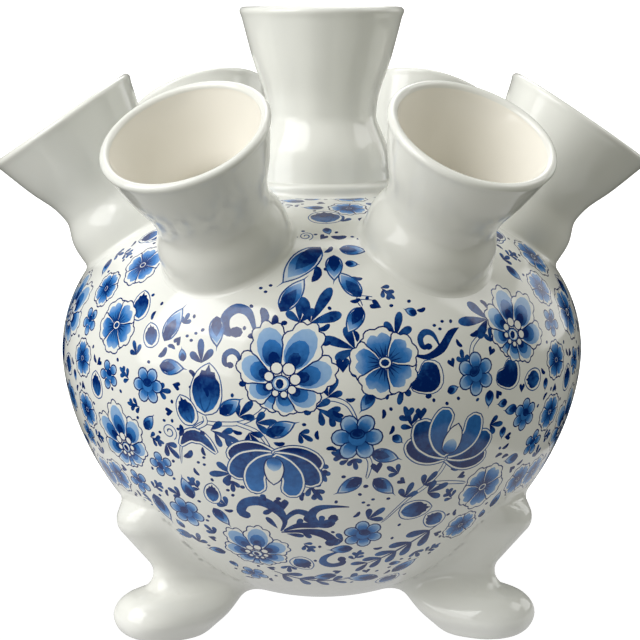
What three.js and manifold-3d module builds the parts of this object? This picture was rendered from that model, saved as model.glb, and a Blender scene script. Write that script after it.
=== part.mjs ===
// Ball-shaped tulip vase on three scroll feet, with a ring of six spouts leaning out round one upright spout.
// Lengths are in millimetres and angles in degrees. +Z is up, the front is -Y,
// and the origin lies on the vase's axis at the height of the table.
import * as THREE from 'three';
import { mergeVertices } from 'three/addons/utils/BufferGeometryUtils.js';
import Module from 'manifold-3d';

// Globe: the hollow body, a bowl and a dome joined at the widest ring
const globeRadius = 80; // at its widest ring
const globeDrop = 77.4; // from the widest ring down to the lowest point
const globeRise = 49; // from the widest ring up to the flattened crown
const globeLift = 6; // lowest point above the table
const globeWall = 4.5;
const bellySlope = 1.75; // 2 would be an ellipse, less draws the lower half in sooner
const shoulderFullness = 2.9; // 2 would be an ellipse, more makes the shoulder squarer

// Spouts: trumpet necks, luted to the globe over round holes
const sideSpouts = ['front_right', 'right', 'back_right', 'back_left', 'left', 'front_left'];
const firstSpoutAzimuth = 30; // from the front, towards +X
const spoutTilt = 34; // of a side spout's axis from upright
const seatReach = 57.6; // vase's axis to where a side spout's axis leaves the globe
const sideSpoutLength = 39.4; // from the globe's skin to the mouth
const centreSpoutLength = 55.4;
const sideMouthRadius = 24.6; // outside of the rolled lip
const centreMouthRadius = 25;
const lipRound = 1.4; // radius of the rolled lip
const lipGroove = 0.5; // how far the flare steps in under the lip
const neckRadius = 16.5; // outside of the waist
const sideBellRadius = 19.2; // outside of the base, below the waist
const centreBellRadius = 21;
const sideFlareLength = 28; // mouth to waist
const centreFlareLength = 33.5;
const sideBellHeight = 9; // waist to the widest ring of the base
const centreBellHeight = 15;
const spoutWall = 3.6; // at the waist
const collarWidth = 1.6; // step that runs round the centre spout's base
const collarHeight = 3.2;

// Share of the swell and of the length, from the waist outwards
const flareShape = [[0, 0], [0.13, 0.24], [0.55, 0.56], [1, 1]];
const bellShape = [[0, 0], [0.3, 0.22], [0.85, 0.62], [1, 1]];

// Feet: pressed scroll feet, S-curved in front and slanting behind
const feet = ['front_right', 'back', 'front_left'];
const firstFootAzimuth = 60; // from the front, towards +X
const toeInset = 8.8; // from the globe's widest ring in to the front of the toe scroll
const toeRound = 6.7; // radius of the toe scroll
const ankleRound = 5.6; // radius of the hollow above the toe scroll
const kneeInset = 9.6;
const kneeHeight = 36.6;
const kneeRound = 5.5;
const heelInset = 36.9; // from the globe's widest ring in to the inner end of the sole
const heelSlope = 50; // of the inner edge, from upright
const heelNearest = 8; // how close to the vase's axis the inner edge may come
const soleWidth = 20;
const toeWidth = 27.5;
const ankleWidth = 15.3;
const kneeWidth = 26.1;
const footSquareness = 2.4; // of a level section: 2 would be an ellipse

const joinGap = 0.3; // glazed seam between a luted piece and the globe
const globeFacets = 48;
const globeRings = 20; // from pole to pole
const innerRings = 10;
const spoutFacets = 24;
const flareSteps = 5;
const bellSteps = 3;
const footFacets = 18;

const wasm = await Module();
wasm.setup();

const radians = THREE.MathUtils.degToRad;
const widestHeight = globeLift + globeDrop;
const crownHeight = widestHeight + globeRise;
const vaseHeight = crownHeight + centreSpoutLength;
const toeReach = globeRadius - toeInset;
const kneeReach = globeRadius - kneeInset;
const heelReach = globeRadius - heelInset;

const patterned = new THREE.MeshStandardMaterial({ color: 0xb9c6dc, roughness: 0.12, metalness: 0 });
const white = new THREE.MeshStandardMaterial({ color: 0xe9e8df, roughness: 0.12, metalness: 0 });

// A closed geometry as a solid that can be joined and cut.
function solidOf(geometry) {
  const bare = geometry.clone();
  bare.deleteAttribute('normal');
  bare.deleteAttribute('uv');
  const merged = mergeVertices(bare, 1e-4);
  return new wasm.Manifold(
    new wasm.Mesh({
      numProp: 3,
      vertProperties: merged.attributes.position.array,
      triVerts: new Uint32Array(merged.index.array),
    }),
  );
}

function geometryOf(solid) {
  const mesh = solid.getMesh();
  const geometry = new THREE.BufferGeometry();
  geometry.setAttribute('position', new THREE.BufferAttribute(mesh.vertProperties, 3));
  geometry.setIndex(new THREE.BufferAttribute(mesh.triVerts, 1));
  const flat = geometry.toNonIndexed();
  flat.computeVertexNormals();
  return flat;
}

// A profile of [radius, height] pairs, listed from the bottom up, turned about +Z.
function turned(profile, facets) {
  const points = profile.map(([r, z]) => new THREE.Vector2(Math.max(r, 0), z));
  return new THREE.LatheGeometry(points, facets).rotateX(Math.PI / 2);
}

// Points of a smooth curve through the given [radius, height] pairs.
function smooth(points, steps) {
  const curve = new THREE.SplineCurve(points.map(([r, z]) => new THREE.Vector2(r, z)));
  return curve.getPoints(steps).map((p) => [p.x, p.y]);
}

// Points of an arc about [r, z]; the angles are measured from the outward level.
function arc([r, z], radius, from, to, steps) {
  const points = [];
  for (let i = 0; i <= steps; i++) {
    const t = radians(from + ((to - from) * i) / steps);
    points.push([r + radius * Math.cos(t), z + radius * Math.sin(t)]);
  }
  return points;
}

// Half of the globe's section, grown outwards by the given amount.
function globeProfile(grow, rings) {
  const profile = [];
  for (let i = 0; i <= rings; i++) {
    const t = (i / rings - 0.5) * Math.PI;
    const across = Math.cos(t) ** (t < 0 ? 1 : 2 / shoulderFullness) * (globeRadius + grow);
    const up = Math.sin(Math.abs(t));
    const height = t < 0 ? -(up ** (2 / bellySlope)) * (globeDrop + grow) : up * (globeRise + grow);
    profile.push([i === 0 || i === rings ? 0 : across, widestHeight + height]);
  }
  return profile;
}

// Height of the globe's upper skin at a distance from the axis.
function skinHeight(reach) {
  return widestHeight + globeRise * Math.sqrt(1 - (reach / globeRadius) ** shoulderFullness);
}

function grownGlobe() {
  return turned(globeProfile(joinGap, globeRings), globeFacets);
}

// What tells a side spout from the centre one. The root is how far its solid reaches below the mouth.
const sideKind = {
  mouth: sideMouthRadius,
  bell: sideBellRadius,
  flareLength: sideFlareLength,
  bellHeight: sideBellHeight,
  root: sideSpoutLength + globeWall + sideBellRadius,
};
const centreKind = {
  mouth: centreMouthRadius,
  bell: centreBellRadius,
  flareLength: centreFlareLength,
  bellHeight: centreBellHeight,
  root: centreSpoutLength + globeWall + centreBellRadius,
};

// The curve from the waist up to just under the lip.
function flare(waist, top, length, under) {
  const points = flareShape.map(([out, up]) => [waist + out * (top - waist), -length + up * (length - under)]);
  return smooth(points, flareSteps);
}

// Outline of a spout from its root up to its lip; the mouth is at height 0.
function spoutOutline({ mouth, bell, flareLength, bellHeight, root }) {
  const swell = bellShape.map(([out, down]) => [
    neckRadius + out * (bell - neckRadius),
    -flareLength - down * bellHeight,
  ]);
  const base = smooth(swell.reverse(), bellSteps);
  const wall = flare(neckRadius, mouth - lipGroove, flareLength, 2 * lipRound).slice(1);
  const lip = arc([mouth - lipRound, -lipRound], lipRound, 0, 90, 3);
  return [[0, -root], [bell, -root], ...base, ...wall, ...lip, [0, 0]];
}

// The bore follows the outside at the wall's thickness and runs straight on into the globe.
function spoutBore({ mouth, flareLength, root }) {
  const inner = mouth - 2 * lipRound;
  const neck = neckRadius - spoutWall;
  const funnel = flare(neck, inner, flareLength, lipRound);
  const lip = arc([mouth - lipRound, -lipRound], lipRound, 180, 90, 3).slice(1);
  const past = lipRound;
  return [[0, -root - past], [neck, -root - past], ...funnel, ...lip, [mouth - lipRound, past], [0, past]];
}

// Where a side spout's mouth stands before it is turned to its azimuth.
const mouthReach = seatReach + sideSpoutLength * Math.sin(radians(spoutTilt));
const mouthHeight = skinHeight(seatReach) + sideSpoutLength * Math.cos(radians(spoutTilt));

// Places a thing at a distance in front of the axis and a height, leaning forwards, and turns it to its azimuth.
function pose(azimuth, reach, height, tilt) {
  const turn = new THREE.Matrix4().makeRotationZ(radians(azimuth));
  const place = new THREE.Matrix4().makeTranslation(0, -reach, height);
  return turn.multiply(place).multiply(new THREE.Matrix4().makeRotationX(radians(tilt)));
}

function spoutAzimuth(i) {
  return firstSpoutAzimuth + (i * 360) / sideSpouts.length;
}

// A spout in its own frame, seated on the globe that lies under it.
function seated(outside, kind, place) {
  const globe = solidOf(grownGlobe().applyMatrix4(place.clone().invert()));
  const bore = solidOf(turned(spoutBore(kind), spoutFacets));
  return geometryOf(outside.subtract(bore).subtract(globe));
}

function sideSpout() {
  const outside = solidOf(turned(spoutOutline(sideKind), spoutFacets));
  return seated(outside, sideKind, pose(0, mouthReach, mouthHeight, spoutTilt));
}

// The centre spout stands on a stepped collar with a rounded edge.
function centreSpout() {
  const outside = solidOf(turned(spoutOutline(centreKind), spoutFacets));
  const edge = centreBellRadius + collarWidth;
  const round = collarHeight / 2;
  const top = collarHeight - centreSpoutLength;
  const rim = arc([edge - round, top - round], round, 0, 90, 3);
  const collar = solidOf(turned([[0, -centreKind.root], [edge, -centreKind.root], ...rim, [0, top]], spoutFacets));
  return seated(outside.add(collar), centreKind, pose(0, 0, vaseHeight, 0));
}

// The lower half of the globe, a thin bowl. Its rim is the widest ring.
function bowl() {
  const outside = globeProfile(0, globeRings).slice(0, globeRings / 2 + 1);
  const inside = globeProfile(-globeWall, innerRings).slice(0, innerRings / 2 + 1);
  return turned([...outside, ...inside.reverse()], globeFacets);
}

// The upper half, set rim to rim on the bowl, with a round hole under each spout.
function dome() {
  const lifted = ([r, z], i) => [r, i === 0 ? z + joinGap : z];
  const outside = globeProfile(0, globeRings).slice(globeRings / 2).map(lifted);
  const inside = globeProfile(-globeWall, innerRings).slice(innerRings / 2).map(lifted);
  let shell = solidOf(turned([...inside.reverse(), ...outside], globeFacets));
  const drill = (kind, place) => {
    shell = shell.subtract(solidOf(turned(spoutBore(kind), spoutFacets).applyMatrix4(place)));
  };
  drill(centreKind, pose(0, 0, vaseHeight, 0));
  sideSpouts.forEach((name, i) => {
    drill(sideKind, pose(spoutAzimuth(i), mouthReach, mouthHeight, spoutTilt));
  });
  return geometryOf(shell);
}

// One level of a foot: a rounded slab section from its inner edge to its front.
function footLevel(height, heel, front, width) {
  const rounded = (v) => Math.sign(v) * Math.abs(v) ** (2 / footSquareness);
  const level = [];
  for (let i = 0; i < footFacets; i++) {
    const t = (i / footFacets) * 2 * Math.PI;
    const x = (rounded(Math.sin(t)) * width) / 2;
    const reach = (heel + front) / 2 + (rounded(Math.cos(t)) * (front - heel)) / 2;
    level.push(new THREE.Vector3(x, -reach, height));
  }
  return level;
}

// A closed skin over a stack of levels, capped flat at both ends.
function lofted(levels) {
  const count = levels[0].length;
  const positions = [];
  const triangle = (a, b, c) => positions.push(...a.toArray(), ...b.toArray(), ...c.toArray());
  for (let k = 0; k + 1 < levels.length; k++) {
    const [lower, upper] = [levels[k], levels[k + 1]];
    for (let i = 0; i < count; i++) {
      const j = (i + 1) % count;
      triangle(lower[i], lower[j], upper[j]);
      triangle(lower[i], upper[j], upper[i]);
    }
  }
  const [sole, cap] = [levels[0], levels[levels.length - 1]];
  for (let i = 1; i + 1 < count; i++) {
    triangle(sole[0], sole[i + 1], sole[i]);
    triangle(cap[0], cap[i], cap[i + 1]);
  }
  const geometry = new THREE.BufferGeometry();
  geometry.setAttribute('position', new THREE.Float32BufferAttribute(positions, 3));
  return mergeVertices(geometry, 1e-4);
}

// The front of the foot from the sole up: toe scroll, ankle hollow and knee, which runs into the globe.
function footFront() {
  const toeCentre = [toeReach - toeRound, toeRound];
  const ankleCentre = [toeCentre[0], 2 * toeRound + ankleRound];
  const toe = arc(toeCentre, toeRound, -90, 75, 8);
  const ankle = arc(ankleCentre, ankleRound, 240, 135, 4);
  const knee = arc([kneeReach - kneeRound, kneeHeight], kneeRound, -45, 80, 6);
  return [...toe, ...ankle, ...knee];
}

// Width of the foot at a height, eased from sole to toe, ankle and knee.
function footWidth(height) {
  const stations = [
    [0, soleWidth],
    [toeRound, toeWidth],
    [2 * toeRound + ankleRound, ankleWidth],
    [kneeHeight, kneeWidth],
  ];
  for (let i = 1; i < stations.length; i++) {
    const [z0, w0] = stations[i - 1];
    const [z1, w1] = stations[i];
    if (height <= z1) return THREE.MathUtils.lerp(w0, w1, THREE.MathUtils.smoothstep(height, z0, z1));
  }
  return kneeWidth;
}

function foot() {
  const lean = Math.tan(radians(heelSlope));
  const levels = footFront().map(([front, height]) => {
    const heel = Math.max(heelReach - lean * height, heelNearest);
    return footLevel(height, heel, front, footWidth(height));
  });
  return geometryOf(solidOf(lofted(levels)).subtract(solidOf(grownGlobe())));
}

// Hangs a part in a group of its own that is turned to the part's azimuth.
function spoke(name, geometry, azimuth, reach, height, tilt) {
  const mesh = new THREE.Mesh(geometry, white);
  mesh.name = name;
  mesh.position.set(0, -reach, height);
  mesh.rotation.x = radians(tilt);
  const group = new THREE.Group();
  group.rotation.z = radians(azimuth);
  group.add(mesh);
  return group;
}

const vase = new THREE.Group();
vase.name = 'tulip_vase';

const lowerHalf = new THREE.Mesh(bowl(), patterned);
lowerHalf.name = 'globe_bowl';
vase.add(lowerHalf);

const upperHalf = new THREE.Mesh(dome(), patterned);
upperHalf.name = 'globe_dome';
vase.add(upperHalf);

vase.add(spoke('centre_spout', centreSpout(), 0, 0, vaseHeight, 0));

const spoutShape = sideSpout();
sideSpouts.forEach((side, i) => {
  vase.add(spoke(`spout_${side}`, spoutShape, spoutAzimuth(i), mouthReach, mouthHeight, spoutTilt));
});

const footShape = foot();
feet.forEach((side, i) => {
  vase.add(spoke(`foot_${side}`, footShape, firstFootAzimuth + (i * 360) / feet.length, 0, 0, 0));
});

export default vase;
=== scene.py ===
# Ball-shaped tulip vase on three scroll feet, with trumpet spouts, in white glaze with cobalt flowers.
# Lengths are in metres, except on the painted sheet, the globe's unrolled skin, which is in millimetres.
import math
import random

import bpy
import numpy as np
from bpy.props import FloatProperty, FloatVectorProperty, IntProperty, PointerProperty
from mathutils import Matrix, Vector
from mathutils.geometry import delaunay_2d_cdt


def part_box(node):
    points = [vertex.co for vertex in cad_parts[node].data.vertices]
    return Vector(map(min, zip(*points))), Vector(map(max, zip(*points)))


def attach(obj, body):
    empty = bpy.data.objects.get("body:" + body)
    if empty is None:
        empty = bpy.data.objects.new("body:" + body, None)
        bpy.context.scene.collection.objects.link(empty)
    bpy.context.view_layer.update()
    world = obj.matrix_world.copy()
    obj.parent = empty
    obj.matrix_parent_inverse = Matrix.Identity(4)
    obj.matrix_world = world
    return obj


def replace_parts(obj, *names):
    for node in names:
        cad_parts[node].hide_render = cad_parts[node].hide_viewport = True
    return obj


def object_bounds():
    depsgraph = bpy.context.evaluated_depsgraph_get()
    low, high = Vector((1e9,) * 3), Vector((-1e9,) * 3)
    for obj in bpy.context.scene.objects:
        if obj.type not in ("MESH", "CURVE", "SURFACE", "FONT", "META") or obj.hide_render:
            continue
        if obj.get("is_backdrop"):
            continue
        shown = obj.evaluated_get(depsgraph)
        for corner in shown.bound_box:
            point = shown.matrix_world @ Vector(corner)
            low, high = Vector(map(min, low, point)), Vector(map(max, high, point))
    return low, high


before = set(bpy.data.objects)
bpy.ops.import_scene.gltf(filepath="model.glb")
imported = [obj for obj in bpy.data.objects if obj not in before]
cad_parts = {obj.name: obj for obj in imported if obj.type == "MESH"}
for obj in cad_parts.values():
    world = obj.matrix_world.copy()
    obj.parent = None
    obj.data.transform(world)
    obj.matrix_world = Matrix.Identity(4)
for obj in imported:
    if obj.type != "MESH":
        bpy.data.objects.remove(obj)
cad_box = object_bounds()

bl_info = {
    "name": "Tulip Vase",
    "version": (1, 0, 0),
    "blender": (4, 5, 0),
    "location": "3D View > Sidebar > Tulip Vase",
    "description": "Builds a footed tulip vase with a ring of spouts and a painted flower pattern",
    "category": "Add Mesh",
}

MM = 0.001
SIDE_SPOUTS = ["front_right", "right", "back_right", "back_left", "left", "front_left"]
FEET = ["front_right", "back", "front_left"]
bowl_low, bowl_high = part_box("globe_bowl")


# Sizes and colours that a user would change

def metres(label, note, default):
    return FloatProperty(name=label, description=note, default=default, unit="LENGTH")


def degrees(label, note, default):
    return FloatProperty(name=label, description=note, default=math.radians(default), unit="ROTATION")


def number(label, note, default):
    return FloatProperty(name=label, description=note, default=default)


def shade(label, note, default):
    return FloatVectorProperty(
        name=label, description=note, default=default, size=3, subtype="COLOR", min=0, max=1)


class GlobeSettings(bpy.types.PropertyGroup):
    radius: metres("Radius", "Of the globe at its widest ring", bowl_high.x)
    widest: metres("Widest ring", "Height of the widest ring above the table", bowl_high.z)
    drop: metres("Drop", "From the widest ring down to the lowest point", bowl_high.z - bowl_low.z)
    rise: metres("Rise", "From the widest ring up to the flattened crown", 0.049)
    wall: metres("Wall", "Thickness of the globe's wall", 0.0045)
    belly_slope: number("Belly slope", "2 is an ellipse, less draws the lower half in sooner", 1.75)
    shoulder_fullness: number("Shoulder fullness", "2 is an ellipse, more makes the shoulder squarer", 2.9)


class SpoutSettings(bpy.types.PropertyGroup):
    tilt: degrees("Tilt", "Of a side spout's axis from upright", 34)
    first_azimuth: degrees("First azimuth", "Of the first side spout, from the front", 30)
    seat_reach: metres("Seat reach", "From the vase's axis to where a side spout leaves the globe", 0.0576)
    side_length: metres("Side length", "Of a side spout from the globe to its mouth", 0.0394)
    centre_length: metres("Centre length", "Of the centre spout from the globe to its mouth", 0.0554)
    side_mouth: metres("Side mouth", "Outer radius of a side spout's lip", 0.0246)
    centre_mouth: metres("Centre mouth", "Outer radius of the centre spout's lip", 0.025)
    lip_round: metres("Lip round", "Radius of the rolled lip", 0.0014)
    softness: metres("Softness", "How widely the groove under the lip and the waist are rounded", 0.0013)
    neck: metres("Neck", "Outer radius of the waist", 0.0165)
    wall: metres("Wall", "Thickness at the waist", 0.0036)
    side_bell: metres("Side bell", "Outer radius of a side spout's base", 0.0192)
    centre_bell: metres("Centre bell", "Outer radius of the centre spout's base", 0.021)
    side_flare: metres("Side flare", "From a side spout's mouth down to its waist", 0.028)
    centre_flare: metres("Centre flare", "From the centre spout's mouth down to its waist", 0.0335)
    side_swell: metres("Side swell", "From a side spout's waist down to where its base is widest", 0.009)
    centre_swell: metres("Centre swell", "From its waist down to where the centre base is widest", 0.015)
    collar_width: metres("Collar width", "Of the step round the centre spout's base", 0.0016)
    collar_height: metres("Collar height", "Of the step round the centre spout's base", 0.0032)
    seat_fillet: metres("Seat fillet", "Radius of the glaze pooled round a spout's base", 0.0013)


class FootSettings(bpy.types.PropertyGroup):
    first_azimuth: degrees("First azimuth", "Of the first foot, from the front", 60)
    toe_reach: metres("Toe reach", "From the vase's axis to the front of the toe", 0.0712)
    toe_round: metres("Toe round", "Radius of the toe scroll", 0.0067)
    ankle_round: metres("Ankle round", "Radius of the hollow above the toe", 0.0056)
    knee_reach: metres("Knee reach", "From the vase's axis to the front of the knee", 0.0704)
    knee_height: metres("Knee height", "Of the middle of the knee", 0.0366)
    knee_round: metres("Knee round", "Radius of the knee", 0.0055)
    heel_reach: metres("Heel reach", "From the vase's axis to the inner end of the sole", 0.0431)
    heel_slope: degrees("Heel slope", "Of the inner edge from upright", 50)
    sole_width: metres("Sole width", "At the table", 0.02)
    toe_width: metres("Toe width", "Across the toe scroll", 0.0275)
    ankle_width: metres("Ankle width", "Across the ankle", 0.0153)
    knee_width: metres("Knee width", "Across the knee", 0.0261)
    squareness: number("Squareness", "Of a level section, where 2 is an ellipse", 2.4)
    blend: metres("Blend", "How widely the foot flows into the globe", 0.0045)
    grain: metres("Grain", "Size of the foot's mesh cells", 0.0011)


class GlazeSettings(bpy.types.PropertyGroup):
    ground: shade("Ground", "Colour of the bare glaze", (0.825, 0.82, 0.77))
    ground_cool: shade("Cool ground", "Colour where the glaze lies thick", (0.775, 0.785, 0.75))
    inside: shade("Inside", "Colour of the glaze in the spouts", (0.85, 0.82, 0.745))
    pale: shade("Pale blue", "Colour of a thin wash", (0.3, 0.47, 0.71))
    middle: shade("Middle blue", "Colour of a full brush", (0.035, 0.18, 0.5))
    dark: shade("Dark blue", "Colour of outlines and dark leaves", (0.001, 0.018, 0.13))
    roughness: FloatProperty(
        name="Roughness", description="Of the glaze", default=0.11, subtype="FACTOR", min=0, max=1)


class PatternSettings(bpy.types.PropertyGroup):
    repeats: IntProperty(name="Repeats", description="How often the pattern's panel goes round", default=3)
    seed: IntProperty(name="Seed", description="Of the small brush differences", default=7)
    grain: metres("Grain", "Distance between the painted sheet's free points", 0.0018)


class StageSettings(bpy.types.PropertyGroup):
    lens: number("Lens", "Focal length in millimetres", 119.76)
    camera_place: FloatVectorProperty(
        name="Camera place", description="Where the camera stands", default=(-0.0191, -0.652, 0.1931),
        size=3, subtype="TRANSLATION", unit="LENGTH")
    camera_dip: degrees("Camera dip", "How far the camera looks down", 8.84)
    camera_turn: degrees("Camera turn", "How far the camera looks right", 1.63)
    floor: shade("Floor", "Colour of the floor and backdrop", (0.93, 0.93, 0.93))
    card: shade("Card", "Colour of the card that throws light up at the vase", (0.1, 0.1, 0.1))


# Globe

QUARTER = 1200  # points on the outline from the lowest point to the widest ring, and on to the crown
SEAT_ABOVE, SEAT_BELOW = 0.012, 0.04  # how far from its seat a spout's edge is looked for
HALVINGS = 44


class Skin:
    """The globe's outline turned about the upright axis, in metres."""

    def __init__(self, globe, grow=0.0):
        self.radius = globe.radius + grow
        self.drop = globe.drop + grow
        self.rise = globe.rise + grow
        self.widest = globe.widest
        self.slope = globe.belly_slope
        self.fullness = globe.shoulder_fullness
        turn = np.linspace(-math.pi / 2, math.pi / 2, 2 * QUARTER + 1)
        upper = turn > 0
        self.across = self.radius * np.cos(turn).clip(0) ** np.where(upper, 2 / self.fullness, 1)
        up = np.abs(np.sin(turn)) ** np.where(upper, 1, 2 / self.slope)
        self.height = self.widest + np.where(upper, up * self.rise, -up * self.drop)
        steps = np.hypot(np.diff(self.across), np.diff(self.height))
        self.length = np.concatenate([[0], np.cumsum(steps)])

    def powers(self, points):
        """The shares and powers of the outline's formula at some points."""
        across = np.hypot(points[..., 0], points[..., 1])
        up = points[..., 2] - self.widest
        upper = up > 0
        level = np.where(upper, self.fullness, 2.0)
        upright = np.where(upper, 2.0, self.slope)
        reach = np.where(upper, self.rise, self.drop)
        return across, up, level, upright, reach

    def value(self, points):
        """Below 0 inside the skin, 0 on it and above 0 outside."""
        across, up, level, upright, reach = self.powers(points)
        return (across / self.radius) ** level + (np.abs(up) / reach) ** upright - 1

    def normal(self, points):
        """Outward normals near the skin, with the value's steepness as their length."""
        across, up, level, upright, reach = self.powers(points)
        safe = np.maximum(across, 1e-9)
        outward = level * (across / self.radius) ** (level - 1) / self.radius / safe
        lift = upright * (np.abs(up) / reach) ** (upright - 1) / reach * np.sign(up)
        return np.stack([points[..., 0] * outward, points[..., 1] * outward, lift], -1)

    def distance(self, points):
        """About the distance to the skin, below 0 inside."""
        return self.value(points) / np.maximum(np.linalg.norm(self.normal(points), axis=-1), 1e-6)

    def place(self, angle, length):
        """Points at angles from the front and lengths along the outline from its lowest point."""
        across = np.interp(length, self.length, self.across)
        height = np.interp(length, self.length, self.height)
        return np.stack([across * np.sin(angle), -across * np.cos(angle), height], -1)

    def meet(self, matrix, depth, across, angle):
        """Heights in a spout's frame where its upright lines meet the skin, near a seat at that depth."""
        high = np.full(angle.shape, SEAT_ABOVE - depth)
        low = np.full(angle.shape, -SEAT_BELOW - depth)
        for _ in range(HALVINGS):
            middle = (high + low) / 2
            outside = self.value(moved(matrix, ring_points(across, angle, middle))) > 0
            high = np.where(outside, middle, high)
            low = np.where(outside, low, middle)
        return (high + low) / 2


def ring_points(across, angle, height):
    """Points round an upright axis."""
    height = np.broadcast_to(height, angle.shape)
    return np.stack([across * np.cos(angle), across * np.sin(angle), height], -1)


def moved(matrix, points):
    """Points carried along by a 4 by 4 matrix."""
    table = np.array(matrix)
    return points @ table[:3, :3].T + table[:3, 3]


def spout_pose(azimuth, reach, height, tilt):
    """Stands a spout at a reach and height in front of the axis, leaning forwards, and turns it."""
    place = Matrix.Translation((0, -reach, height))
    return Matrix.Rotation(azimuth, 4, "Z") @ place @ Matrix.Rotation(tilt, 4, "X")


def side_pose(skin, spouts, index):
    """Where the mouth of a side spout is."""
    azimuth = spouts.first_azimuth + index * math.tau / len(SIDE_SPOUTS)
    reach = spouts.seat_reach + spouts.side_length * math.sin(spouts.tilt)
    seat = skin.rise * math.sqrt(1 - (spouts.seat_reach / skin.radius) ** skin.fullness)
    height = skin.widest + seat + spouts.side_length * math.cos(spouts.tilt)
    return spout_pose(azimuth, reach, height, spouts.tilt)


def add_object(name, data):
    """Puts a mesh, a lamp or a camera into the scene."""
    made = bpy.data.objects.new(name, data)
    bpy.context.scene.collection.objects.link(made)
    return made


def add_mesh(name, points, faces, material):
    """A smooth mesh object in metres."""
    mesh = bpy.data.meshes.new(name)
    mesh.from_pydata(points.tolist(), [], faces)
    mesh.validate()
    mesh.shade_smooth()
    mesh.materials.append(material)
    return add_object(name, mesh)


def make_piece(name, points, faces, material, normals=None):
    """A mesh object that rides with the vase."""
    piece = add_mesh(name, points, faces, material)
    if normals is not None:
        piece.data.normals_split_custom_set_from_vertices(normals.tolist())
    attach(piece, "root")
    return piece


def set_values(piece, name, domain, values):
    """Gives a piece's mesh one number per point or corner."""
    attribute = piece.data.attributes.new(name, "FLOAT", domain)
    attribute.data.foreach_set("value", values.ravel().astype(np.float32))


# Painted sheet

OUTLINE_SLACK = 0.025  # in millimetres
HOLE_POINTS, POLE_POINTS = 48, 72
HOLE_GAP = 0.0001  # between a hole and the tube in it
TUBE_STEP = 0.002  # how much wider the tube in a hole is than the bore
BOTTOM_CAP = 0.014  # radius of the plain cap round the globe's lowest point
BORDER_STEP = 2  # in millimetres
ROW_RISE = 0.87  # height of a row of even triangles with sides of 1
LEAST_IN_ROW = 24
JITTER = 0.05  # in millimetres


class Sheet:
    """Painted shapes on the globe's unrolled skin, the last on top, in millimetres."""

    def __init__(self, skin):
        self.skin = skin
        self.unit = skin.radius / MM
        self.girth = math.tau * self.unit
        self.outlines = []
        self.tones = []  # start, end, then the line from the one to the other
        self.claims = []  # angle, length and radius of what fillers keep off

    def across(self, length):
        """Radius of the skin at a length along its outline."""
        return np.interp(np.asarray(length) * MM, self.skin.length, self.skin.across) / MM

    def add(self, outline, tone):
        self.outlines.append(thinned(outline, OUTLINE_SLACK))
        self.tones.append(np.array(tone, float))

    def repeat(self, count):
        """Takes the shapes round the globe, with those that cross the seam on both sides of it."""
        outlines, tones = self.outlines, self.tones
        self.outlines, self.tones = [], []
        half = self.girth / 2
        for k in range(count):
            for outline, tone in zip(outlines, tones):
                for turn in (-1, 0, 1):
                    shift = (k / count + turn) * self.girth
                    left, right = outline[:, 0].min() + shift, outline[:, 0].max() + shift
                    if right > -half and left < half:
                        self.outlines.append(outline + [shift, 0])
                        self.tones.append(tone + [0, 0, shift, 0, shift, 0])


class Brush:
    """Paints shapes given in millimetres from a spot of the sheet, turned and scaled."""

    def __init__(self, sheet, azimuth, length, turn=0.0, size=1.0, flip=1):
        self.sheet = sheet
        self.azimuth = azimuth
        self.length = length
        cosine, sine = math.cos(math.radians(turn)) * size, math.sin(math.radians(turn)) * size
        self.table = np.array([[cosine * flip, -sine, 0], [sine * flip, cosine, 0]])

    def at(self, x, y, turn=0.0, size=1.0, flip=1):
        """The same brush moved, turned and scaled in its own frame."""
        other = Brush(self.sheet, self.azimuth, self.length, turn, size, flip)
        inner = np.vstack([other.table, [0, 0, 1]])
        inner[:2, 2] = (x, y)
        other.table = self.table @ inner
        return other

    def spot(self, points):
        """Points of the brush's frame as points of the sheet."""
        points = np.asarray(points, float).reshape(-1, 2)
        local = points @ self.table[:, :2].T + self.table[:, 2]
        length = self.length + local[:, 1]
        stretch = self.sheet.unit / np.maximum(self.sheet.across(length), 1)
        along = math.radians(self.azimuth) * self.sheet.unit + local[:, 0] * stretch
        return np.stack([along, length], -1)

    def local(self, azimuth, length):
        """A spot of the sheet in the frame of an unturned brush."""
        return math.radians(azimuth - self.azimuth) * self.sheet.across(length), length - self.length

    def fill(self, outline, tone, end=None, line=None):
        """Fills an outline with one tone, or with a wash from tone to end along a line."""
        if end is None:
            data = (tone, tone, 0, 0, 1, 0)
        else:
            (x0, y0), (x1, y1) = self.spot(line)
            data = (tone, end, x0, y0, x1, y1)
        self.sheet.add(self.spot(outline), data)

    def claim(self, radius):
        """Keeps the fillers off a round patch."""
        azimuth, length = self.spot((0, 0))[0]
        self.sheet.claims.append((azimuth, length, radius))


def curve(points, steps, closed=False):
    """Points of a smooth curve through the given points."""
    points = np.asarray(points, float)
    count = len(points)
    spans = count if closed else count - 1
    result = []
    for i in range(spans):
        if closed:
            before, start, end, after = (points[(i + k) % count] for k in (-1, 0, 1, 2))
        else:
            before, start = points[max(i - 1, 0)], points[i]
            end, after = points[i + 1], points[min(i + 2, count - 1)]
        out, into = (end - before) / 2, (after - start) / 2
        for k in range(steps):
            t = k / steps
            bend = (2 * start - 2 * end + out + into) * t ** 3
            bend = bend + (3 * end - 3 * start - 2 * out - into) * t ** 2
            result.append(bend + out * t + start)
    if not closed:
        result.append(points[-1])
    return np.array(result)


def thinned(outline, slack):
    """A closed outline without the points that hardly stand off the line between their neighbours."""
    for first in (1, 0, 1, 0):
        chord = np.roll(outline, -1, 0) - np.roll(outline, 1, 0)
        arm = outline - np.roll(outline, 1, 0)
        off = np.abs(chord[:, 0] * arm[:, 1] - chord[:, 1] * arm[:, 0])
        kept = off > slack * np.hypot(chord[:, 0], chord[:, 1])
        kept[1 - first::2] = True
        if kept.sum() < 5:
            break
        outline = outline[kept]
    return outline


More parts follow.
